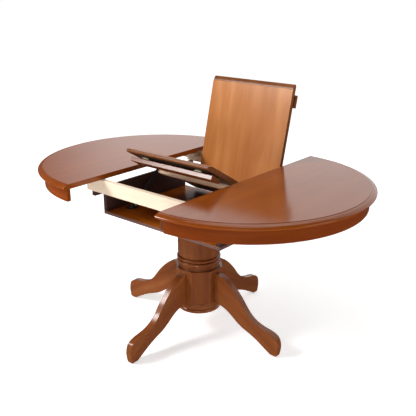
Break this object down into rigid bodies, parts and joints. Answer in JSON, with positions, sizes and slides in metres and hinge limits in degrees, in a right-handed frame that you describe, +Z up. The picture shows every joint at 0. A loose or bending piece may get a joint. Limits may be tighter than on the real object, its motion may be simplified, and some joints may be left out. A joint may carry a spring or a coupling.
{
  "type": "round pedestal extension table",
  "caption": "Round pedestal dining table whose top parts on wooden slides to take a folding centre leaf that swings up out of a box under the top.",
  "frame": {"origin": "on the floor under the pedestal's axis, which is also the centre of the table", "axes": "+Z up; the halves of the top part along X; the split faces and the leaf's length run along Y, with the raised leaf panel at +Y"},
  "size_m": [1.577, 1.067, 1.1055],
  "materials": {
    "stained_wood": "satin gloss lacquer",
    "leaf_wood": "satin gloss lacquer",
    "dark_wood": "dark satin lacquer",
    "raw_wood": "bare planed wood",
    "black_steel": "black satin paint",
    "zinc_steel": "zinc plated",
    "hinge_brass": "dull brass plated",
    "glide_plastic": "matte"
  },
  "bodies": {
    "frame": {"arm_bracket_left": "black_steel", "arm_bracket_right": "black_steel", "base_cap": "stained_wood", "box_end_left": "dark_wood", "box_end_right": "dark_wood", "box_floor": "dark_wood", "column_bolt_1": "zinc_steel", "column_bolt_2": "zinc_steel", "column_bolt_3": "zinc_steel", "column_bolt_4": "zinc_steel", "foot_glide_front": "glide_plastic", "foot_glide_left": "glide_plastic", "foot_glide_rear": "glide_plastic", "foot_glide_right": "glide_plastic", "leg_bolt_front": "zinc_steel", "leg_bolt_left": "zinc_steel", "leg_bolt_rear": "zinc_steel", "leg_bolt_right": "zinc_steel", "leg_front": "stained_wood", "leg_left": "stained_wood", "leg_rear": "stained_wood", "leg_right": "stained_wood", "pedestal_column": "stained_wood", "rail_front": "raw_wood", "rail_rear": "raw_wood"},
    "leaf_front": {"batten_pin_left": "zinc_steel", "batten_pin_right": "zinc_steel", "centre_hinge_front_left": "hinge_brass", "centre_hinge_front_right": "hinge_brass", "flap_hinge_front_left": "hinge_brass", "flap_hinge_front_right": "hinge_brass", "leaf_batten_front": "raw_wood", "leaf_panel_front": "leaf_wood"},
    "leaf_rear": {"centre_hinge_rear_left": "hinge_brass", "centre_hinge_rear_right": "hinge_brass", "flap_hinge_rear_left": "hinge_brass", "flap_hinge_rear_right": "hinge_brass", "leaf_batten_rear": "raw_wood", "leaf_panel_rear": "leaf_wood"},
    "flap_front": {"apron_flap_front": "leaf_wood"},
    "flap_rear": {"apron_flap_rear": "leaf_wood"},
    "swing_arms": {"bracket_pin_left": "zinc_steel", "bracket_pin_right": "zinc_steel", "swing_arm_left": "black_steel", "swing_arm_right": "black_steel"},
    "left_half": {"apron_left": "stained_wood", "slider_left_front": "raw_wood", "slider_left_rear": "raw_wood", "top_left": "stained_wood"},
    "right_half": {"apron_aligner_front": "stained_wood", "apron_aligner_rear": "stained_wood", "apron_right": "stained_wood", "slider_right_front": "raw_wood", "slider_right_rear": "raw_wood", "top_right": "stained_wood"}
  },
  "joints": [
    {"name": "left_half_slide", "type": "slide", "parent": "frame", "child": "left_half", "axis": [1, 0, 0], "range_m": [0, 0.0255]},
    {"name": "right_half_slide", "type": "slide", "parent": "frame", "child": "right_half", "axis": [-1, 0, 0], "range_m": [0, 0.0255]},
    {"name": "leaf_lift", "type": "hinge", "parent": "frame", "child": "swing_arms", "pos_m": [0, -0.156, 0.58581], "axis": [1, 0, 0], "range_deg": [0, 92.31]},
    {"name": "leaf_front_tilt", "type": "hinge", "parent": "swing_arms", "child": "leaf_front", "pos_m": [0, -0.00693, 0.71089], "axis": [1, 0, 0], "range_deg": [-61.22, 0]},
    {"name": "leaf_fold", "type": "hinge", "parent": "leaf_front", "child": "leaf_rear", "pos_m": [0, 0.2555, 0.5903], "axis": [1, 0, 0], "range_deg": [-107.31, 0]},
    {"name": "flap_front_fold", "type": "hinge", "parent": "leaf_front", "child": "flap_front", "pos_m": [0, -0.17262, 0.81761], "axis": [1, 0, 0], "range_deg": [-90.01, 0]},
    {"name": "flap_rear_fold", "type": "hinge", "parent": "leaf_rear", "child": "flap_rear", "pos_m": [0, 0.39669, 1.05401], "axis": [1, 0, 0], "range_deg": [0, 90.01]}
  ],
  "couplings": [
    {"joint": "leaf_front_tilt", "follows": "leaf_lift", "ratio": -0.66311},
    {"joint": "leaf_fold", "follows": "leaf_lift", "ratio": -1.1623},
    {"joint": "flap_front_fold", "follows": "leaf_lift", "ratio": -0.97493},
    {"joint": "flap_rear_fold", "follows": "leaf_lift", "ratio": 0.97493}
  ]
}
